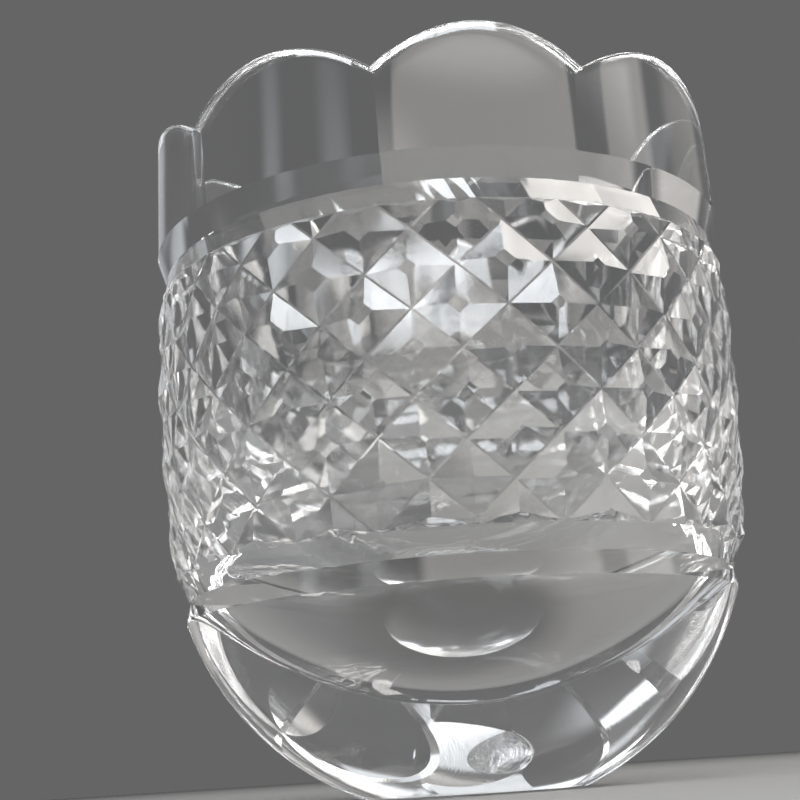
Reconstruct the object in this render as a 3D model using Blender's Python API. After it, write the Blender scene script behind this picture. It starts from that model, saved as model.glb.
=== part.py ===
"""Cut-crystal mixing glass: one blown and wheel-cut piece of clear glass.

From the foot up it has a plain round bowl with a thick floor, a ring groove, a band of
diamond cutting, a second ring groove and a plain collar. Its rim is scalloped, with a
shallow upright V cut, a mitre, below each notch.
Units are metres and degrees, +Z is up, and the foot stands on Z = 0.
"""

import math

import bmesh
import bpy

# Heights, each measured from the top of the one before it
BOWL_HEIGHT = 0.0262
LOWER_FLANK_HEIGHT = 0.0031      # bowl edge up to the bottom of the lower ring groove
BAND_HEIGHT = 0.0490             # from one ring groove to the other
UPPER_FLANK_HEIGHT = 0.0040      # bottom of the upper ring groove up to the collar
COLLAR_HEIGHT = 0.01845          # up to the crests of the rim

# Outside radii
BODY_RADIUS = 0.0442             # over the diamond tips, where the band is fullest
COLLAR_INSET = 0.00055           # collar edge inside the body radius
RIM_INSET = 0.00035              # rim inside the collar edge
BOWL_INSET = 0.0012              # bowl's round inside the body radius
FOOT_RADIUS = 0.0165             # flat ground foot

# Ring grooves
UPPER_GROOVE_DEPTH = 0.00125     # below the collar edge
LOWER_GROOVE_DEPTH = 0.0005      # below the bowl edge
UPPER_STRIP_HEIGHT = 0.0030      # plain strip between the groove and the diamonds
LOWER_STRIP_HEIGHT = 0.0034
STRIP_END_SLOPE = 0.65           # steep end of the diamonds along each strip

# Diamond band
DIAMONDS_AROUND = 22
DIAMOND_HEIGHT = 0.01118         # corner to corner
DIAMOND_DEPTH = 0.00085          # tip above the crossing grooves
CROSSING_HEIGHT = 0.02573        # one row of groove crossings above the lower groove
CROSSING_ANGLE = 3.3             # one groove crossing, from the front towards +X
BAND_CROWN_HEIGHT = 0.0322       # fullest height above the lower groove
BAND_CURVE_RADIUS = 0.245        # upright curve of the band

# Rim
SCALLOPS = 8
SCALLOP_DEPTH = 0.0055           # crest to notch
FIRST_NOTCH = -51.2              # leftmost notch of the front, turning from -Y towards +X
FRONT_PANELS = (41.8, 39.7)      # widths of the first scallops; the others share the rest evenly
MITRE_WIDTH = 0.0046             # shallow upright V cut below each notch
MITRE_DEPTH = 0.00012
RIM_THICKNESS = 0.0040
LIP_ROUND = 0.0007               # rounding along both edges of the flat lip

# Inside
FLOOR_THICKNESS = 0.0230
CAVITY_CURVE_HEIGHT = 0.0390     # rounded bottom of the inside
WALL_THICKNESS = 0.0082          # diamond tips to the inside, at the top of that curve

# Steps of the round surfaces
ROUND_STEPS = 88
PANEL_STEPS = 9
BOWL_STEPS = 12
CAVITY_STEPS = 12
LIP_STEPS = 3
MERGE_DISTANCE = 0.000001
SHARP_ANGLE = 12                 # steeper edges than this show as cut edges

GLASS_COLOUR = (0.97, 0.975, 0.975, 1.0)
GLASS_ROUGHNESS = 0.02
GLASS_IOR = 1.55

# Sizes worked out from the ones above
LOWER_GROOVE = BOWL_HEIGHT + LOWER_FLANK_HEIGHT
UPPER_GROOVE = LOWER_GROOVE + BAND_HEIGHT
COLLAR_BOTTOM = UPPER_GROOVE + UPPER_FLANK_HEIGHT
RIM_TOP = COLLAR_BOTTOM + COLLAR_HEIGHT
COLLAR_RADIUS = BODY_RADIUS - COLLAR_INSET
RIM_RADIUS = COLLAR_RADIUS - RIM_INSET
BOWL_RADIUS = BODY_RADIUS - BOWL_INSET
BOWL_CENTRE = math.sqrt(BOWL_RADIUS ** 2 - FOOT_RADIUS ** 2)
BOWL_EDGE_RADIUS = math.sqrt(BOWL_RADIUS ** 2 - (BOWL_CENTRE - BOWL_HEIGHT) ** 2)
CAVITY_RADIUS = BODY_RADIUS - WALL_THICKNESS
CAVITY_SHOULDER = FLOOR_THICKNESS + CAVITY_CURVE_HEIGHT
UPPER_STRIP_EDGE = UPPER_GROOVE - UPPER_STRIP_HEIGHT
LOWER_STRIP_EDGE = LOWER_GROOVE + LOWER_STRIP_HEIGHT
CROSSING_ROW = LOWER_GROOVE + CROSSING_HEIGHT
HALF_DIAMOND = math.pi / DIAMONDS_AROUND
HALF_DIAMOND_HEIGHT = DIAMOND_HEIGHT / 2


def point(radius, angle, height):
    """A point at an angle from the front, which faces -Y, turning towards +X."""
    return (radius * math.sin(angle), -radius * math.cos(angle), height)


def angle_of(vert):
    """The angle of a vertex round the glass, from 0 to a full turn."""
    return math.atan2(vert.co.x, -vert.co.y) % math.tau


def in_order(verts):
    """A ring's vertices in the order of their angles."""
    return sorted(verts, key=angle_of)


def groove_radius(height):
    """The radius at the bottom of the diamond grooves, on the band's slight barrel curve."""
    rise = height - LOWER_GROOVE - BAND_CROWN_HEIGHT
    return BODY_RADIUS - DIAMOND_DEPTH - rise ** 2 / (2 * BAND_CURVE_RADIUS)


def to_crossing(value):
    """Distance to the nearest groove, which lies at every even number."""
    return abs(value - 2 * round(value / 2))


def row_height(row):
    """The height of a row counted in half diamonds."""
    return CROSSING_ROW + row * HALF_DIAMOND_HEIGHT


def tip_rise(place):
    """Height of the diamonds above their grooves at a (column, row) place."""
    column, row = place
    return DIAMOND_DEPTH * min(to_crossing(column + row), to_crossing(column - row))


def ring_rise(bottom, share, past):
    """A ring groove's strip, from its bottom to the level of the diamond grooves, and its steep end."""
    return max(bottom * (1 - share), STRIP_END_SLOPE * past)


def upper_ring_rise(place):
    """Height of the upper ring groove above the diamond grooves."""
    bottom = COLLAR_RADIUS - UPPER_GROOVE_DEPTH - groove_radius(UPPER_GROOVE)
    past = UPPER_STRIP_EDGE - row_height(place[1])
    return ring_rise(bottom, 1 + past / UPPER_STRIP_HEIGHT, past)


def lower_ring_rise(place):
    """Height of the lower ring groove above the diamond grooves."""
    bottom = BOWL_EDGE_RADIUS - LOWER_GROOVE_DEPTH - groove_radius(LOWER_GROOVE)
    past = row_height(place[1]) - LOWER_STRIP_EDGE
    return ring_rise(bottom, 1 + past / LOWER_STRIP_HEIGHT, past)


def band_point(place):
    """The surface point of the cut band at a (column, row) place."""
    height = row_height(place[1])
    rise = min(tip_rise(place), upper_ring_rise(place), lower_ring_rise(place))
    angle = math.radians(CROSSING_ANGLE) + place[0] * HALF_DIAMOND
    return point(groove_radius(height) + rise, angle, height)


def split(polygon, value):
    """The two parts of a polygon where a linear value is below zero and above it."""
    below = []
    above = []
    for here, there in zip(polygon, polygon[1:] + polygon[:1]):
        start = value(here)
        end = value(there)
        if start <= 0:
            below.append(here)
        if start >= 0:
            above.append(here)
        if start * end < 0:
            share = start / (start - end)
            cut = tuple(a + share * (b - a) for a, b in zip(here, there))
            below.append(cut)
            above.append(cut)
    return below, above


def halves(parts, value):
    """Both halves of each polygon, split where a linear value is zero."""
    return [half for part in parts for half in split(part, value) if len(half) > 2]


def cut_facet(facet):
    """One diamond facet as the ring grooves leave it, with the bits of their strips."""
    inside, _ = split(facet, lambda place: row_height(place[1]) - UPPER_GROOVE)
    _, inside = split(inside, lambda place: row_height(place[1]) - LOWER_GROOVE)
    parts = [inside]
    for edge in (UPPER_STRIP_EDGE, LOWER_STRIP_EDGE):
        parts = halves(parts, lambda place: row_height(place[1]) - edge)
    for rise in (upper_ring_rise, lower_ring_rise):
        parts = halves(parts, lambda place: tip_rise(place) - rise(place))
    return parts


def add_band(mesh):
    """Add the band between the ring grooves and return its lower and upper edge rings."""
    first_row = math.floor((LOWER_GROOVE - CROSSING_ROW) / HALF_DIAMOND_HEIGHT)
    last_row = math.ceil((UPPER_GROOVE - CROSSING_ROW) / HALF_DIAMOND_HEIGHT)
    for row in range(first_row, last_row + 1):
        for column in range((row + 1) % 2, 2 * DIAMONDS_AROUND, 2):
            corners = [(column + 1, row), (column, row + 1), (column - 1, row), (column, row - 1)]
            for here, there in zip(corners, corners[1:] + corners[:1]):
                for piece in cut_facet([(column, row), here, there]):
                    mesh.faces.new([mesh.verts.new(band_point(place)) for place in piece])
    bmesh.ops.remove_doubles(mesh, verts=mesh.verts, dist=MERGE_DISTANCE)
    bmesh.ops.dissolve_degenerate(mesh, edges=mesh.edges, dist=MERGE_DISTANCE)
    edges = []
    for height in (LOWER_GROOVE, UPPER_GROOVE):
        edges.append(in_order(v for v in mesh.verts if abs(v.co.z - height) < MERGE_DISTANCE))
    return edges


def stitch(mesh, first, second):
    """Join two rings with triangles; the second ring follows the first along the profile."""
    here = 0
    there = 0
    while here < len(first) or there < len(second):
        next_here = angle_of(first[(here + 1) % len(first)]) + math.tau * ((here + 1) // len(first))
        next_there = angle_of(second[(there + 1) % len(second)])
        next_there += math.tau * ((there + 1) // len(second))
        low = first[here % len(first)]
        high = second[there % len(second)]
        if there == len(second) or (here < len(first) and next_here <= next_there):
            mesh.faces.new((low, first[(here + 1) % len(first)], high))
            here += 1
        else:
            mesh.faces.new((low, second[(there + 1) % len(second)], high))
            there += 1


def round_ring(mesh, radius, height):
    """A plain ring of vertices."""
    angles = [math.tau * step / ROUND_STEPS for step in range(ROUND_STEPS)]
    return in_order([mesh.verts.new(point(radius, angle, height)) for angle in angles])


def rim_panels():
    """Each scallop's first notch and its width, round the rim."""
    back = SCALLOPS - len(FRONT_PANELS)
    widths = list(FRONT_PANELS) + [(360 - sum(FRONT_PANELS)) / back] * back
    panels = []
    notch = FIRST_NOTCH
    for width in widths:
        panels.append((math.radians(notch), math.radians(width)))
        notch += width
    return panels


def rim_columns():
    """Each rim column's angle, its drop below the crests and its depth in the mitre cuts."""
    mitre = MITRE_WIDTH / 2 / COLLAR_RADIUS
    columns = []
    for notch, panel in rim_panels():
        offsets = [0.0]
        offsets += [mitre + (panel - 2 * mitre) * step / PANEL_STEPS for step in range(PANEL_STEPS + 1)]
        for offset in offsets:
            from_crest = 2 * offset / panel - 1
            from_notch = min(offset, panel - offset)
            drop = SCALLOP_DEPTH * from_crest ** 2
            depth = MITRE_DEPTH * max(0.0, 1 - from_notch / mitre)
            columns.append((notch + offset, drop, depth))
    return columns


def collar_edge(mesh, columns):
    """The ring at the lower edge of the collar."""
    verts = []
    for angle, _, depth in columns:
        verts.append(mesh.verts.new(point(COLLAR_RADIUS - depth, angle, COLLAR_BOTTOM)))
    return in_order(verts)


def lip_ring(mesh, columns, inset, lift):
    """A ring on the lip, set in from the outside of the rim and lifted towards its top."""
    share = inset / RIM_THICKNESS
    verts = []
    for angle, drop, depth in columns:
        radius = RIM_RADIUS - inset - depth * (1 - share)
        verts.append(mesh.verts.new(point(radius, angle, RIM_TOP - drop - LIP_ROUND + lift)))
    return in_order(verts)


def add_collar_and_lip(mesh, lower):
    """Add the collar from the upper groove to the rim, then the lip; return its inside ring."""
    columns = rim_columns()
    rings = [collar_edge(mesh, columns)]
    turns = [math.pi / 2 * step / LIP_STEPS for step in range(LIP_STEPS + 1)]
    for turn in turns:
        inset = LIP_ROUND * (1 - math.cos(turn))
        rings.append(lip_ring(mesh, columns, inset, LIP_ROUND * math.sin(turn)))
    for turn in reversed(turns):
        inset = RIM_THICKNESS - LIP_ROUND * (1 - math.cos(turn))
        rings.append(lip_ring(mesh, columns, inset, LIP_ROUND * math.sin(turn)))
    for ring in rings:
        stitch(mesh, lower, ring)
        lower = ring
    return lower


def add_cavity(mesh, upper):
    """Add the inside from the lip down to the middle of the floor."""
    for step in range(CAVITY_STEPS):
        turn = math.pi / 2 * step / CAVITY_STEPS
        height = CAVITY_SHOULDER - CAVITY_CURVE_HEIGHT * math.sin(turn)
        ring = round_ring(mesh, CAVITY_RADIUS * math.cos(turn), height)
        stitch(mesh, upper, ring)
        upper = ring
    middle = mesh.verts.new((0.0, 0.0, FLOOR_THICKNESS))
    for here, there in zip(upper, upper[1:] + upper[:1]):
        mesh.faces.new((here, there, middle))


def add_bowl(mesh, upper):
    """Add the flat foot and the round bowl up to the lower ring groove."""
    start = math.asin(FOOT_RADIUS / BOWL_RADIUS)
    end = math.pi / 2 - math.asin((BOWL_CENTRE - BOWL_HEIGHT) / BOWL_RADIUS)
    lower = round_ring(mesh, FOOT_RADIUS, 0.0)
    mesh.faces.new(list(reversed(lower)))
    for step in range(1, BOWL_STEPS + 1):
        turn = start + (end - start) * step / BOWL_STEPS
        ring = round_ring(mesh, BOWL_RADIUS * math.sin(turn), BOWL_CENTRE - BOWL_RADIUS * math.cos(turn))
        stitch(mesh, lower, ring)
        lower = ring
    stitch(mesh, lower, upper)


def glass_material():
    """Clear colourless crystal."""
    material = bpy.data.materials.new("clear_crystal")
    material.use_nodes = True
    shader = material.node_tree.nodes["Principled BSDF"]
    shader.inputs["Base Color"].default_value = GLASS_COLOUR
    shader.inputs["Roughness"].default_value = GLASS_ROUGHNESS
    shader.inputs["Metallic"].default_value = 0.0
    shader.inputs["IOR"].default_value = GLASS_IOR
    shader.inputs["Transmission Weight"].default_value = 1.0
    return material


def make_glass_body():
    """Build the whole glass as one closed body."""
    mesh = bmesh.new()
    band_bottom, band_top = add_band(mesh)
    add_bowl(mesh, band_bottom)
    add_cavity(mesh, add_collar_and_lip(mesh, band_top))
    bmesh.ops.recalc_face_normals(mesh, faces=mesh.faces)
    data = bpy.data.meshes.new("glass_body")
    mesh.to_mesh(data)
    mesh.free()
    data.shade_smooth()
    data.set_sharp_from_angle(angle=math.radians(SHARP_ANGLE))
    data.materials.append(glass_material())
    body = bpy.data.objects.new("glass_body", data)
    bpy.context.scene.collection.objects.link(body)
    return body


for old in list(bpy.data.objects):
    bpy.data.objects.remove(old, do_unlink=True)
make_glass_body()
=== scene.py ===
import math
import random

import bmesh
import bpy
from mathutils import Matrix, Vector, noise


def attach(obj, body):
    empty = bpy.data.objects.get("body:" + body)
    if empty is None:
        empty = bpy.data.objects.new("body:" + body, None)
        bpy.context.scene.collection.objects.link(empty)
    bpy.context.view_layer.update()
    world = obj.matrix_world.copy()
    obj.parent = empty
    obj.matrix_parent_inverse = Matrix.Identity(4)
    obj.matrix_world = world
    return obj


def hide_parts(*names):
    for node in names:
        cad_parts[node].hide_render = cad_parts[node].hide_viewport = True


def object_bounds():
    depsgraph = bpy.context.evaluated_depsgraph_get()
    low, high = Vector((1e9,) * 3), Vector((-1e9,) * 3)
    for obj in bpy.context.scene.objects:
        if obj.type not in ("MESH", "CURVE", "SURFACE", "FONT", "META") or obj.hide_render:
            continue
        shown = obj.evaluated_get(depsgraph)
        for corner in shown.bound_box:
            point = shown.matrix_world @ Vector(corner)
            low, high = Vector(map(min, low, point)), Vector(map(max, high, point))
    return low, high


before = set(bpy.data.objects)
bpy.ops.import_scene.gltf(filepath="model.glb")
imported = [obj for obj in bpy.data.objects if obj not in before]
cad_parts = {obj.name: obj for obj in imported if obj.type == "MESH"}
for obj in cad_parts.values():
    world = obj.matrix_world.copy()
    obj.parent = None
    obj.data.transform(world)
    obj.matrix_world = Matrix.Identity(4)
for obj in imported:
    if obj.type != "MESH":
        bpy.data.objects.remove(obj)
cad_low, cad_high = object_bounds()

# The finished surface of the cut-crystal glass, with its stage, light and camera.
# Units are metres and degrees; the front of the glass faces -Y.

# Heights
RIM_TOP = cad_high.z
COLLAR_HEIGHT = 0.01845
UPPER_FLANK_HEIGHT = 0.0040      # bottom of the upper ring groove up to the collar
BAND_HEIGHT = 0.0490             # from one ring groove to the other
LOWER_FLANK_HEIGHT = 0.0031      # bowl edge up to the bottom of the lower ring groove

# Outside radii
BODY_RADIUS = 0.0442             # over the diamond tips, where the band is fullest
COLLAR_INSET = 0.00055           # collar edge inside the body radius
RIM_INSET = 0.00035              # rim inside the collar edge
BOWL_INSET = 0.0012              # bowl's round inside the body radius
FOOT_RADIUS = 0.0165             # flat ground foot

# Ring grooves
UPPER_GROOVE_DEPTH = 0.00125     # below the collar edge
LOWER_GROOVE_DEPTH = 0.0005      # below the bowl edge
UPPER_STRIP_HEIGHT = 0.0030      # plain strip between the groove and the diamonds
LOWER_STRIP_HEIGHT = 0.0034
STRIP_END_SLOPE = 0.65           # steep end of the diamonds along each strip

# Diamond band
DIAMONDS_AROUND = 22
DIAMOND_HEIGHT = 0.01118         # corner to corner
DIAMOND_DEPTH = 0.00085          # tip above the crossing grooves
CROSSING_HEIGHT = 0.02573        # one row of groove crossings above the lower groove
CROSSING_ANGLE = 3.3             # one groove crossing, from the front towards +X
BAND_CROWN_HEIGHT = 0.0322       # fullest height above the lower groove
BAND_CURVE_RADIUS = 0.245        # upright curve of the band
GROOVE_BOTTOM = 0.036            # half the width of a groove's flat bottom, in half diamonds
SLICE_WIDTH = 0.125              # slices of the ring grooves' round strips, in half diamonds

# How far the hand-cut grooves stray
CUT_SEED = 11
SIDEWAYS_STRAY = 0.13            # in half diamonds
SHALLOW_STRAY = 0.00012          # up to this much shallower
TILT_STRAY = 0.10                # share of a flank's slope that its twin gains
SKIN_INSET = 0.0001              # uncut skin left on the largest diamonds, inside the body radius
SPARE_ROWS = 2                   # half diamonds past the band's ends that strayed grooves reach in from

# Rim
SCALLOPS = 8
SCALLOP_DEPTH = 0.0055           # crest to notch
FIRST_NOTCH = -51.2              # leftmost notch of the front, turning from -Y towards +X
FRONT_PANELS = (41.8, 39.7)      # widths of the first scallops; the others share the rest evenly
MITRE_WIDTH = 0.0046             # shallow upright V cut below each notch
MITRE_DEPTH = 0.00012
RIM_THICKNESS = 0.0040
LIP_ROUND = 0.0007               # rounding along both edges of the flat lip

# Inside
FLOOR_THICKNESS = 0.0230
CAVITY_CURVE_HEIGHT = 0.0390     # rounded bottom of the inside
WALL_THICKNESS = 0.0082          # diamond tips to the inside, at the top of that curve

# Steps of the smooth surfaces
ROUND_STEPS = 288
PANEL_STEPS = 34
BOWL_STEPS = 44
COLLAR_STEPS = 10
LIP_STEPS = 8
WALL_STEPS = 24
CAVITY_STEPS = 44
MERGE_DISTANCE = 0.000001
SHARP_ANGLE = 7

# Slow waves that blowing and polishing leave in the surface
WAVE_DEPTH = 0.00004
WAVE_LENGTH = 0.014

# Crystal: faint clouds of colour between clear and tinted
CRYSTAL_IOR = 1.55
CRYSTAL_CLEAR = (0.995, 0.995, 0.995, 1.0)
CRYSTAL_TINT = (0.975, 0.985, 0.988, 1.0)
CLOUD_SCALE = 45.0
CLOUD_DETAIL = 2.0

# Polish: streaks that the cloth leaves round the glass, and the worn foot
POLISH = (0.0, 0.015)            # roughness of well and less polished parts
STREAK_SCALE = (60.0, 60.0, 420.0)
STREAK_DETAIL = 4.0
STREAK_FADE = (0.45, 0.8)        # streak level, from well to less polished
FOOT_WEAR = 0.12                 # roughness of the foot
FOOT_WEAR_HEIGHT = 0.0006

# Marks of the cutting wheel on the facets, and slower ripples where the glass is plain
MARK_DEPTH = 0.0000015
MARK_SCALE = (28.0, 0.9, 0.0)    # across and along the marks
MARK_DETAIL = 3.0
RIPPLE_DEPTH = 40                # in depths of the marks
RIPPLE_TURN = 0.022              # shift across the ripples for each half diamond round the glass
RIPPLE_RISE = 0.012              # and for each half diamond up
RIPPLE_DETAIL = 0.0

# Sizes worked out from the ones above
COLLAR_BOTTOM = RIM_TOP - COLLAR_HEIGHT
UPPER_GROOVE = COLLAR_BOTTOM - UPPER_FLANK_HEIGHT
LOWER_GROOVE = UPPER_GROOVE - BAND_HEIGHT
BOWL_HEIGHT = LOWER_GROOVE - LOWER_FLANK_HEIGHT
COLLAR_RADIUS = BODY_RADIUS - COLLAR_INSET
RIM_RADIUS = COLLAR_RADIUS - RIM_INSET
BOWL_RADIUS = BODY_RADIUS - BOWL_INSET
BOWL_CENTRE = math.sqrt(BOWL_RADIUS ** 2 - FOOT_RADIUS ** 2)
BOWL_EDGE_RADIUS = math.sqrt(BOWL_RADIUS ** 2 - (BOWL_CENTRE - BOWL_HEIGHT) ** 2)
CAVITY_RADIUS = BODY_RADIUS - WALL_THICKNESS
CAVITY_SHOULDER = FLOOR_THICKNESS + CAVITY_CURVE_HEIGHT
CROSSING_ROW = LOWER_GROOVE + CROSSING_HEIGHT
HALF_DIAMOND = math.pi / DIAMONDS_AROUND
HALF_DIAMOND_HEIGHT = DIAMOND_HEIGHT / 2
UPPER_STRIP_EDGE = UPPER_GROOVE - UPPER_STRIP_HEIGHT
LOWER_STRIP_EDGE = LOWER_GROOVE + LOWER_STRIP_HEIGHT

# Camera, where the photograph was taken from
CAMERA_DISTANCE = 0.2258         # in front of the axis of the glass
CAMERA_HEIGHT = 0.0033
CAMERA_YAW = -1.83
CAMERA_PITCH = 13.96
CAMERA_ROLL = -3.70
CAMERA_LENS = 67.5               # millimetres, on a 36 mm sensor
CAMERA_CLIP = 0.01               # nearest distance that shows

# Stage
LIGHT_BOUNCES = 32               # inside the glass
FLOOR_GAP = 0.0002               # air under the ground foot
FLOOR_RADIUS = 1.5
FLOOR_STEPS = 96
FLOOR_COLOUR = (0.30, 0.297, 0.293, 1.0)
FLOOR_ROUGHNESS = 0.7

# Surroundings, which change with the direction that one looks in
BACKDROP_FADE = (-0.45, 0.15)    # along Y, from the room in front to the backdrop behind the glass
CEILING_FADE = (0.60, 0.90)      # along Z
ROOM_COLOUR = (0.06, 0.06, 0.062, 1.0)
BACKDROP_COLOUR = (0.13, 0.13, 0.132, 1.0)
CEILING_COLOUR = (0.22, 0.22, 0.22, 1.0)

# Soft boxes, seen from the upper part of the glass: name, turn from the front towards +X and
# height, half width and half height, all in degrees, then the evenly bright share, colour and glow
LIGHT_CENTRE = (0.0, 0.0, 0.075)
LIGHT_DISTANCE = 1.0
DAYLIGHT = (0.92, 0.96, 1.0, 1.0)
LAMPLIGHT = (1.0, 0.965, 0.92, 1.0)
SOFT_BOXES = (
    ("window_left", -36, 35.5, 13, 4, 0.8, DAYLIGHT, 15),
    ("window_middle", -6, 35.5, 10, 4, 0.8, DAYLIGHT, 15),
    ("window_right", 18, 35.5, 12, 4, 0.8, DAYLIGHT, 15),
    ("window_top", 8, 44, 10, 3, 0.8, DAYLIGHT, 15),
    ("side_front", 60, 41, 15, 7, 0.8, LAMPLIGHT, 12),
    ("side_back", 90, 36, 15.5, 6.5, 0.8, LAMPLIGHT, 8),
    ("wall", 23, 22, 37, 14, 0.8, LAMPLIGHT, 2.8),
    ("wall_low", -4, 2, 11, 5, 0.2, LAMPLIGHT, 3.0),
    ("wall_right", 84, 20, 14, 14, 0.6, LAMPLIGHT, 2.2),
    ("wall_far", 124, 20, 17, 12, 0.5, LAMPLIGHT, 0.6),
    ("streak_left", -63.5, 22, 6, 12, 0.1, DAYLIGHT, 1.8),
    ("streak_middle", -36, 22, 8, 12, 0.1, DAYLIGHT, 1.6),
    ("edge_left", -150, 20, 12, 12, 0.3, DAYLIGHT, 0.7),
    ("behind", 172, 47, 10, 9, 0.8, DAYLIGHT, 0.9),
    ("behind_left", -124, 56, 22, 7, 0.8, DAYLIGHT, 2.5),
)


def point(radius, angle, height):
    """A point at an angle from the front, which faces -Y, turning towards +X."""
    return (radius * math.sin(angle), -radius * math.cos(angle), height)


def angle_of(vert):
    """The angle of a vertex round the glass, from 0 to a full turn."""
    return math.atan2(vert.co.x, -vert.co.y) % math.tau


def in_order(verts):
    """A ring's vertices in the order of their angles."""
    return sorted(verts, key=angle_of)


def groove_radius(height):
    """The radius at the bottom of the diamond grooves, on the band's slight barrel curve."""
    rise = height - LOWER_GROOVE - BAND_CROWN_HEIGHT
    return BODY_RADIUS - DIAMOND_DEPTH - rise ** 2 / (2 * BAND_CURVE_RADIUS)


def row_height(row):
    """The height of a row counted in half diamonds."""
    return CROSSING_ROW + row * HALF_DIAMOND_HEIGHT


def ring_rise(bottom, share, past):
    """A ring groove's strip, from its bottom to the level of the diamond grooves, and its steep end."""
    return max(bottom * (1 - share), STRIP_END_SLOPE * past)


def upper_ring_rise(place):
    """Height of the upper ring groove above the diamond grooves."""
    bottom = COLLAR_RADIUS - UPPER_GROOVE_DEPTH - groove_radius(UPPER_GROOVE)
    past = UPPER_STRIP_EDGE - row_height(place[1])
    return ring_rise(bottom, 1 + past / UPPER_STRIP_HEIGHT, past)


def lower_ring_rise(place):
    """Height of the lower ring groove above the diamond grooves."""
    bottom = BOWL_EDGE_RADIUS - LOWER_GROOVE_DEPTH - groove_radius(LOWER_GROOVE)
    past = row_height(place[1]) - LOWER_STRIP_EDGE
    return ring_rise(bottom, 1 + past / LOWER_STRIP_HEIGHT, past)


RINGS = (upper_ring_rise, lower_ring_rise)


def skin_rise(place):
    """Height of the blank's uncut skin above the diamond grooves, the same everywhere."""
    return DIAMOND_DEPTH - SKIN_INSET


def split(polygon, value):
    """The two parts of a polygon where a linear value is below zero and above it."""
    below = []
    above = []
    for here, there in zip(polygon, polygon[1:] + polygon[:1]):
        start = value(here)
        end = value(there)
        if start <= 0:
            below.append(here)
        if start >= 0:
            above.append(here)
        if start * end < 0:
            share = start / (start - end)
            cut = tuple(a + share * (b - a) for a, b in zip(here, there))
            below.append(cut)
            above.append(cut)
    return below, above


def hand_cut(draw):
    """One set of parallel grooves: each one's stray sideways, its lost depth and its tilt."""
    grooves = []
    for _ in range(DIAMONDS_AROUND):
        sideways = draw.uniform(-1, 1) + draw.uniform(-1, 1)
        shallow = draw.uniform(0, SHALLOW_STRAY)
        tilt = draw.uniform(-TILT_STRAY, TILT_STRAY)
        grooves.append((sideways * SIDEWAYS_STRAY, shallow, tilt))
    return grooves


def groove_line(grooves, number):
    """Where a groove lies, in half diamonds across its set; grooves repeat round the glass."""
    return 2 * number + grooves[number % DIAMONDS_AROUND][0]


def groove_flank(grooves, number, lean, side):
    """One flank of a groove above its narrow flat bottom, at any (column, row) place."""
    line = groove_line(grooves, number)
    _, _, tilt = grooves[number % DIAMONDS_AROUND]
    slope = side * DIAMOND_DEPTH * (1 + side * tilt)
    return lambda place: slope * (place[0] + lean * place[1] - line) - DIAMOND_DEPTH * GROOVE_BOTTOM


def groove_side(grooves, number, flank):
    """One side of a groove, flat bottom and flank, as a rise above the deepest grooves."""
    _, shallow, _ = grooves[number % DIAMONDS_AROUND]
    bottom = shallow + DIAMOND_DEPTH * GROOVE_BOTTOM
    return lambda place: bottom + max(0.0, flank(place))


def lowest_part(cell, surface, others):
    """The part of a cell where a surface lies below all the others."""
    for other in others:
        if other is not surface and len(cell) > 2:
            cell, _ = split(cell, lambda place: surface(place) - other(place))
    return cell


def slice_lines(places):
    """The columns between which the ring grooves' strips are cut into slices."""
    first = math.floor(min(place[0] for place in places) / SLICE_WIDTH)
    last = math.ceil(max(place[0] for place in places) / SLICE_WIDTH)
    return [number * SLICE_WIDTH for number in range(first + 1, last)]


def in_slices(strip):
    """A piece of a ring groove's strip cut into narrow slices, to follow the round."""
    slices = []
    for line in slice_lines(strip):
        piece, strip = split(strip, lambda place: place[0] - line)
        slices.append(piece)
    return [piece for piece in slices + [strip] if len(piece) > 2]


def with_slice_corners(facet, surface):
    """A facet with the corners of the slices that lie along its edges on a ring groove."""
    corners = []
    for here, there in zip(facet, facet[1:] + facet[:1]):
        corners.append(here)
        for ring in RINGS:
            if all(abs(surface(place) - ring(place)) < MERGE_DISTANCE for place in (here, there)):
                for line in sorted(slice_lines([here, there]), reverse=here[0] > there[0]):
                    share = (line - here[0]) / (there[0] - here[0])
                    corners.append((line, here[1] + share * (there[1] - here[1])))
    return corners


def halves(parts, value):
    """Both halves of each polygon, split where a linear value is zero."""
    return [half for part in parts for half in split(part, value) if len(half) > 2]


def cut_cell(rising, falling, first, second):
    """The parts of one diamond between four grooves: within the band, and on the strips."""
    corners = []
    for one, two in ((first, second), (first + 1, second), (first + 1, second + 1), (first, second + 1)):
        along = groove_line(rising, one)
        across = groove_line(falling, two)
        corners.append(((along + across) / 2, (along - across) / 2))
    corners, _ = split(corners, lambda place: row_height(place[1]) - UPPER_GROOVE)
    _, corners = split(corners, lambda place: row_height(place[1]) - LOWER_GROOVE)
    parts = [corners]
    for edge in (UPPER_STRIP_EDGE, LOWER_STRIP_EDGE):
        parts = halves(parts, lambda place: row_height(place[1]) - edge)
    return parts


def cut_diamond(rising, falling, first, second):
    """One diamond's facets as the grooves leave them: each one's lean, and its places with their rises.

    The lean is that of the groove a facet belongs to, and 0 on uncut skin and on the strips.
    """
    parts = cut_cell(rising, falling, first, second)
    leans = {}
    for grooves, number, lean, side in (
        (rising, first, 1, 1),
        (rising, first + 1, 1, -1),
        (falling, second, -1, 1),
        (falling, second + 1, -1, -1),
    ):
        flank = groove_flank(grooves, number, lean, side)
        parts = halves(parts, flank)
        leans[groove_side(grooves, number, flank)] = lean
    for plain in (skin_rise, *RINGS):
        leans[plain] = 0
    facets = []
    for part in parts:
        for surface, lean in leans.items():
            facet = lowest_part(part, surface, leans)
            if len(facet) < 3:
                continue
            pieces = in_slices(facet) if surface in RINGS else [with_slice_corners(facet, surface)]
            for piece in pieces:
                facets.append((lean, [(place, min(rise(place) for rise in leans)) for place in piece]))
    return facets


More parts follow.
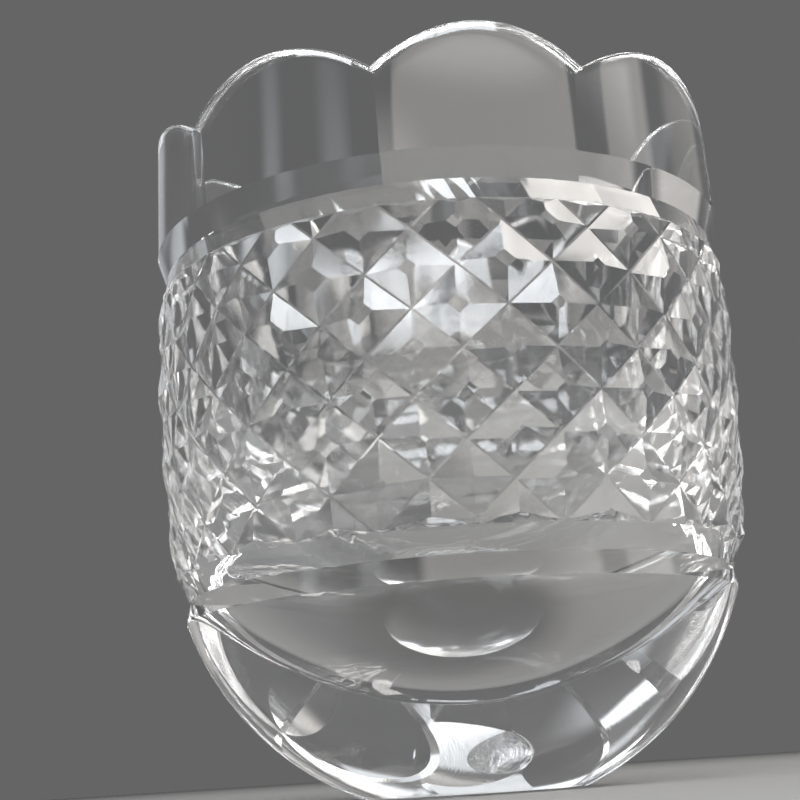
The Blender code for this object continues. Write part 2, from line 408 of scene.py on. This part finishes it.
def band_point(place, rise):
    """The point of the band at a (column, row) place and a rise above the grooves."""
    height = row_height(place[1])
    angle = math.radians(CROSSING_ANGLE) + place[0] * HALF_DIAMOND
    return point(groove_radius(height) + rise, angle, height)


def grain_place(place, lean):
    """Where a place lies across and along the wheel's marks, and how deep its ripples are."""
    column, row = place
    if lean:
        return (column + lean * row, column - lean * row, 0)
    return (RIPPLE_TURN * column + RIPPLE_RISE * row, 0, RIPPLE_DEPTH)


def add_band(mesh):
    """Add the cut band between the ring grooves and return its lower and upper edge rings."""
    grain = mesh.loops.layers.float_vector.new("grain")
    draw = random.Random(CUT_SEED)
    rising = hand_cut(draw)
    falling = hand_cut(draw)
    first_row = math.floor((LOWER_GROOVE - CROSSING_ROW) / HALF_DIAMOND_HEIGHT) - SPARE_ROWS
    last_row = math.ceil((UPPER_GROOVE - CROSSING_ROW) / HALF_DIAMOND_HEIGHT) + SPARE_ROWS
    for first in range(DIAMONDS_AROUND):
        for row in range(first_row, last_row + 1):
            for lean, corners in cut_diamond(rising, falling, first, first - row):
                face = mesh.faces.new([mesh.verts.new(band_point(*corner)) for corner in corners])
                for loop, (place, _) in zip(face.loops, corners):
                    loop[grain] = grain_place(place, lean)
    bmesh.ops.remove_doubles(mesh, verts=mesh.verts, dist=MERGE_DISTANCE)
    bmesh.ops.dissolve_degenerate(mesh, edges=mesh.edges, dist=MERGE_DISTANCE)
    edges = []
    for height in (LOWER_GROOVE, UPPER_GROOVE):
        edges.append(in_order(v for v in mesh.verts if abs(v.co.z - height) < MERGE_DISTANCE))
    return edges


def stitch(mesh, first, second):
    """Join two rings of unlike steps; the second ring follows the first along the profile."""
    here = 0
    there = 0
    while here < len(first) or there < len(second):
        next_here = angle_of(first[(here + 1) % len(first)]) + math.tau * ((here + 1) // len(first))
        next_there = angle_of(second[(there + 1) % len(second)])
        next_there += math.tau * ((there + 1) // len(second))
        low = first[here % len(first)]
        high = second[there % len(second)]
        if there == len(second) or (here < len(first) and next_here <= next_there):
            mesh.faces.new((low, first[(here + 1) % len(first)], high))
            here += 1
        else:
            mesh.faces.new((low, second[(there + 1) % len(second)], high))
            there += 1


def bridge(mesh, first, second):
    """Join two rings of like steps with quads."""
    for step in range(len(first)):
        after = (step + 1) % len(first)
        mesh.faces.new((first[step], first[after], second[after], second[step]))


def round_ring(mesh, radius, height):
    """A plain ring of vertices."""
    angles = [math.tau * step / ROUND_STEPS for step in range(ROUND_STEPS)]
    return in_order([mesh.verts.new(point(radius, angle, height)) for angle in angles])


def rim_panels():
    """Each scallop's first notch and its width, round the rim."""
    back = SCALLOPS - len(FRONT_PANELS)
    widths = list(FRONT_PANELS) + [(360 - sum(FRONT_PANELS)) / back] * back
    panels = []
    notch = FIRST_NOTCH
    for width in widths:
        panels.append((math.radians(notch), math.radians(width)))
        notch += width
    return panels


def rim_columns():
    """Each rim column's angle, its drop below the crests and its depth in the mitre cuts."""
    mitre = MITRE_WIDTH / 2 / COLLAR_RADIUS
    columns = []
    for notch, panel in rim_panels():
        offsets = [0.0]
        offsets += [mitre + (panel - 2 * mitre) * step / PANEL_STEPS for step in range(PANEL_STEPS + 1)]
        for offset in offsets:
            from_crest = 2 * offset / panel - 1
            from_notch = min(offset, panel - offset)
            drop = SCALLOP_DEPTH * from_crest ** 2
            depth = MITRE_DEPTH * max(0.0, 1 - from_notch / mitre)
            columns.append(((notch + offset) % math.tau, drop, depth))
    return sorted(columns)


def column_ring(mesh, columns, place):
    """A ring on the rim's columns; place gives the radius and height from a drop and a depth."""
    verts = []
    for angle, drop, depth in columns:
        radius, height = place(drop, depth)
        verts.append(mesh.verts.new(point(radius, angle, height)))
    return verts


def collar_place(share):
    """A place on the collar, from its lower edge at 0 to the start of the lip at 1."""
    def place(drop, depth):
        radius = COLLAR_RADIUS - share * RIM_INSET - depth
        lip_start = RIM_TOP - drop - LIP_ROUND
        return radius, COLLAR_BOTTOM + share * (lip_start - COLLAR_BOTTOM)
    return place


def lip_place(inset, lift):
    """A place on the lip, set in from the outside of the rim and lifted towards its top."""
    def place(drop, depth):
        radius = RIM_RADIUS - inset - depth * (1 - inset / RIM_THICKNESS)
        return radius, RIM_TOP - drop - LIP_ROUND + lift
    return place


def lip_places():
    """The places over the flat lip with its two rounded edges, from the outside to the inside."""
    turns = [math.pi / 2 * step / LIP_STEPS for step in range(LIP_STEPS + 1)]
    corner = [(LIP_ROUND * (1 - math.cos(turn)), LIP_ROUND * math.sin(turn)) for turn in turns]
    places = [lip_place(inset, lift) for inset, lift in corner[1:]]
    return places + [lip_place(RIM_THICKNESS - inset, lift) for inset, lift in reversed(corner)]


def wall_place(share):
    """A place on the inside wall, from the lip at 0 to the rounded bottom at 1."""
    def place(drop, depth):
        lip_end = RIM_TOP - drop - LIP_ROUND
        radius = RIM_RADIUS - RIM_THICKNESS
        return radius + share * (CAVITY_RADIUS - radius), lip_end + share * (CAVITY_SHOULDER - lip_end)
    return place


def cavity_place(turn):
    """A place on the rounded bottom of the inside."""
    radius = CAVITY_RADIUS * math.cos(turn)
    height = CAVITY_SHOULDER - CAVITY_CURVE_HEIGHT * math.sin(turn)
    return lambda drop, depth: (radius, height)


def add_upper_part(mesh, band_top):
    """Add the collar, the lip and the inside down to the middle of the floor."""
    places = [collar_place(step / COLLAR_STEPS) for step in range(COLLAR_STEPS + 1)]
    places += lip_places()
    places += [wall_place(step / WALL_STEPS) for step in range(1, WALL_STEPS + 1)]
    places += [cavity_place(math.pi / 2 * step / CAVITY_STEPS) for step in range(1, CAVITY_STEPS)]
    columns = rim_columns()
    ring = column_ring(mesh, columns, places[0])
    stitch(mesh, band_top, ring)
    for place in places[1:]:
        above = column_ring(mesh, columns, place)
        bridge(mesh, ring, above)
        ring = above
    middle = mesh.verts.new((0.0, 0.0, FLOOR_THICKNESS))
    for here, there in zip(ring, ring[1:] + ring[:1]):
        mesh.faces.new((here, there, middle))


def add_bowl(mesh, band_bottom):
    """Add the flat foot and the round bowl up to the lower ring groove."""
    start = math.asin(FOOT_RADIUS / BOWL_RADIUS)
    end = math.pi / 2 - math.asin((BOWL_CENTRE - BOWL_HEIGHT) / BOWL_RADIUS)
    ring = round_ring(mesh, FOOT_RADIUS, 0.0)
    mesh.faces.new(list(reversed(ring)))
    for step in range(1, BOWL_STEPS + 1):
        turn = start + (end - start) * step / BOWL_STEPS
        height = BOWL_CENTRE - BOWL_RADIUS * math.cos(turn)
        above = round_ring(mesh, BOWL_RADIUS * math.sin(turn), height)
        bridge(mesh, ring, above)
        ring = above
    stitch(mesh, ring, band_bottom)


def add_waves(mesh):
    """Push the surface in and out a little, as blowing and polishing leave it."""
    for vert in mesh.verts:
        outward = Vector((vert.co.x, vert.co.y, 0.0))
        if outward.length > MERGE_DISTANCE:
            wave = noise.noise(vert.co / WAVE_LENGTH)
            vert.co += outward.normalized() * WAVE_DEPTH * (wave - 1)


def add_node(tree, kind, inputs, **settings):
    """A shader node with its inputs linked to sockets or set to values, by name."""
    node = tree.nodes.new(kind)
    for name, value in settings.items():
        setattr(node, name, value)
    for name, value in inputs.items():
        if isinstance(value, bpy.types.NodeSocket):
            tree.links.new(value, node.inputs[name])
        else:
            node.inputs[name].default_value = value
    return node


def calculate(tree, operation, *values):
    """The result of a math node on one or two values."""
    node = add_node(tree, "ShaderNodeMath", {}, operation=operation)
    for socket, value in zip(node.inputs, values):
        tree.links.new(value, socket)
    return node.outputs["Value"]


def fade(tree, value, start, end, first, last):
    """A smooth change from a first to a last level as a value goes from start to end."""
    levels = {"Value": value, "From Min": start, "From Max": end, "To Min": first, "To Max": last}
    return add_node(tree, "ShaderNodeMapRange", levels, interpolation_type="SMOOTHSTEP").outputs["Result"]


def blend(tree, share, first, last):
    """A colour between a first and a last one, which are colours or sockets."""
    colours = {"Factor": share, "A": first, "B": last}
    return add_node(tree, "ShaderNodeMix", colours, data_type="RGBA").outputs["Result"]


def coordinates(tree, kind):
    """The X, Y and Z of a kind of texture coordinates, and all three as one vector."""
    vector = tree.nodes.new("ShaderNodeTexCoord").outputs[kind]
    return add_node(tree, "ShaderNodeSeparateXYZ", {"Vector": vector}).outputs, vector


def crystal_tint(tree, body):
    """Faint clouds of colour in the crystal."""
    inputs = {"Vector": body, "Scale": CLOUD_SCALE, "Detail": CLOUD_DETAIL}
    clouds = add_node(tree, "ShaderNodeTexNoise", inputs)
    return blend(tree, clouds.outputs["Fac"], CRYSTAL_TINT, CRYSTAL_CLEAR)


def crystal_roughness(tree, body, height):
    """Streaks of the polishing cloth, and the worn foot."""
    round_glass = add_node(tree, "ShaderNodeMapping", {"Vector": body, "Scale": STREAK_SCALE})
    inputs = {"Vector": round_glass.outputs["Vector"], "Detail": STREAK_DETAIL}
    streaks = add_node(tree, "ShaderNodeTexNoise", inputs)
    dull = fade(tree, streaks.outputs["Fac"], *STREAK_FADE, *POLISH)
    worn = fade(tree, height, 0.0, FOOT_WEAR_HEIGHT, FOOT_WEAR, 0.0)
    return calculate(tree, "MAXIMUM", dull, worn)


def crystal_relief(tree):
    """Marks of the wheel and ripples, laid out by the places that the mesh keeps as its grain."""
    grain = add_node(tree, "ShaderNodeAttribute", {}, attribute_name="grain").outputs["Vector"]
    depth = add_node(tree, "ShaderNodeSeparateXYZ", {"Vector": grain}).outputs["Z"]
    place = add_node(tree, "ShaderNodeMapping", {"Vector": grain, "Scale": MARK_SCALE}).outputs["Vector"]
    marks = add_node(tree, "ShaderNodeTexNoise", {"Vector": place, "Detail": MARK_DETAIL})
    ripples = add_node(tree, "ShaderNodeTexNoise", {"Vector": place, "Detail": RIPPLE_DETAIL})
    rippled = calculate(tree, "MULTIPLY", ripples.outputs["Fac"], depth)
    relief = calculate(tree, "ADD", marks.outputs["Fac"], rippled)
    return add_node(tree, "ShaderNodeBump", {"Height": relief, "Distance": MARK_DEPTH}).outputs["Normal"]


def crystal_material():
    """Clear colourless lead crystal, polished, with faint marks of wheel and cloth."""
    material = bpy.data.materials.new("clear_crystal")
    material.use_nodes = True
    tree = material.node_tree
    shader = tree.nodes["Principled BSDF"]
    shader.inputs["IOR"].default_value = CRYSTAL_IOR
    shader.inputs["Transmission Weight"].default_value = 1.0
    axes, body = coordinates(tree, "Object")
    tree.links.new(crystal_tint(tree, body), shader.inputs["Base Color"])
    tree.links.new(crystal_roughness(tree, body, axes["Z"]), shader.inputs["Roughness"])
    tree.links.new(crystal_relief(tree), shader.inputs["Normal"])
    return material


def add_object(name, mesh, material):
    """An object with a finished mesh and its material."""
    data = bpy.data.meshes.new(name)
    mesh.to_mesh(data)
    mesh.free()
    data.materials.append(material)
    added = bpy.data.objects.new(name, data)
    bpy.context.scene.collection.objects.link(added)
    return added


def make_glass():
    """The whole glass as one closed mesh."""
    mesh = bmesh.new()
    band_bottom, band_top = add_band(mesh)
    add_bowl(mesh, band_bottom)
    add_upper_part(mesh, band_top)
    add_waves(mesh)
    bmesh.ops.recalc_face_normals(mesh, faces=mesh.faces)
    glass = add_object("cut_glass", mesh, crystal_material())
    glass.data.shade_smooth()
    glass.data.set_sharp_from_angle(angle=math.radians(SHARP_ANGLE))
    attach(glass, "root")
    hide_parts("glass_body")


def make_floor():
    """A plain pale floor."""
    mesh = bmesh.new()
    bmesh.ops.create_circle(mesh, cap_ends=True, radius=FLOOR_RADIUS, segments=FLOOR_STEPS)
    material = bpy.data.materials.new("pale_floor")
    material.use_nodes = True
    shader = material.node_tree.nodes["Principled BSDF"]
    shader.inputs["Base Color"].default_value = FLOOR_COLOUR
    shader.inputs["Roughness"].default_value = FLOOR_ROUGHNESS
    floor = add_object("floor", mesh, material)
    floor.location.z = -FLOOR_GAP


def make_world():
    """Studio surroundings: an even backdrop behind the glass and a ceiling, in a darker room."""
    world = bpy.data.worlds.new("studio")
    bpy.context.scene.world = world
    world.use_nodes = True
    tree = world.node_tree
    direction, _ = coordinates(tree, "Generated")
    behind = fade(tree, direction["Y"], *BACKDROP_FADE, 0, 1)
    ceiling = fade(tree, direction["Z"], *CEILING_FADE, 0, 1)
    walls = blend(tree, behind, ROOM_COLOUR, BACKDROP_COLOUR)
    room = blend(tree, ceiling, walls, CEILING_COLOUR)
    tree.links.new(room, tree.nodes["Background"].inputs["Color"])


def soft_box_material(name, half_sizes, even, colour, glow):
    """A glow that is even in the middle of a panel and fades to clear towards its edges."""
    material = bpy.data.materials.new(name)
    material.use_nodes = True
    tree = material.node_tree
    tree.nodes.clear()
    axes, _ = coordinates(tree, "Object")
    levels = []
    for axis, half in zip("XY", half_sizes):
        distance = calculate(tree, "ABSOLUTE", axes[axis])
        levels.append(fade(tree, distance, even * half, half, 1, 0))
    clear = tree.nodes.new("ShaderNodeBsdfTransparent")
    emission = add_node(tree, "ShaderNodeEmission", {"Color": colour, "Strength": glow})
    mixed = add_node(tree, "ShaderNodeMixShader", {"Fac": calculate(tree, "MULTIPLY", *levels)})
    tree.links.new(clear.outputs["BSDF"], mixed.inputs[1])
    tree.links.new(emission.outputs["Emission"], mixed.inputs[2])
    add_node(tree, "ShaderNodeOutputMaterial", {"Surface": mixed.outputs["Shader"]})
    return material


def add_soft_box(name, turn, height, half_width, half_height, even, colour, glow):
    """A glowing panel that faces the glass, seen only in the glass and by its light."""
    half_sizes = [LIGHT_DISTANCE * math.tan(math.radians(half)) for half in (half_width, half_height)]
    rise = math.radians(height)
    towards = Vector(point(math.cos(rise), math.radians(turn), math.sin(rise)))
    mesh = bmesh.new()
    bmesh.ops.create_grid(mesh, size=1.0, matrix=Matrix.Diagonal((*half_sizes, 1.0, 1.0)))
    panel = add_object(name, mesh, soft_box_material(name, half_sizes, even, colour, glow))
    panel.location = Vector(LIGHT_CENTRE) + LIGHT_DISTANCE * towards
    panel.rotation_euler = towards.to_track_quat("Z", "Y").to_euler()
    panel.visible_camera = False


def make_camera():
    """The camera, at the photograph's viewing angle."""
    data = bpy.data.cameras.new("camera")
    data.lens = CAMERA_LENS
    data.clip_start = CAMERA_CLIP
    camera = bpy.data.objects.new("camera", data)
    bpy.context.scene.collection.objects.link(camera)
    camera.matrix_world = (
        Matrix.Translation((0.0, -CAMERA_DISTANCE, CAMERA_HEIGHT))
        @ Matrix.Rotation(math.radians(-CAMERA_YAW), 4, "Z")
        @ Matrix.Rotation(math.radians(90 + CAMERA_PITCH), 4, "X")
        @ Matrix.Rotation(math.radians(CAMERA_ROLL), 4, "Z")
    )
    bpy.context.scene.camera = camera


make_camera()
make_glass()
make_floor()
make_world()
for soft_box in SOFT_BOXES:
    add_soft_box(*soft_box)

scene = bpy.context.scene
scene.view_settings.view_transform = "Standard"
scene.cycles.max_bounces = LIGHT_BOUNCES
scene.cycles.glossy_bounces = LIGHT_BOUNCES
scene.cycles.transmission_bounces = LIGHT_BOUNCES
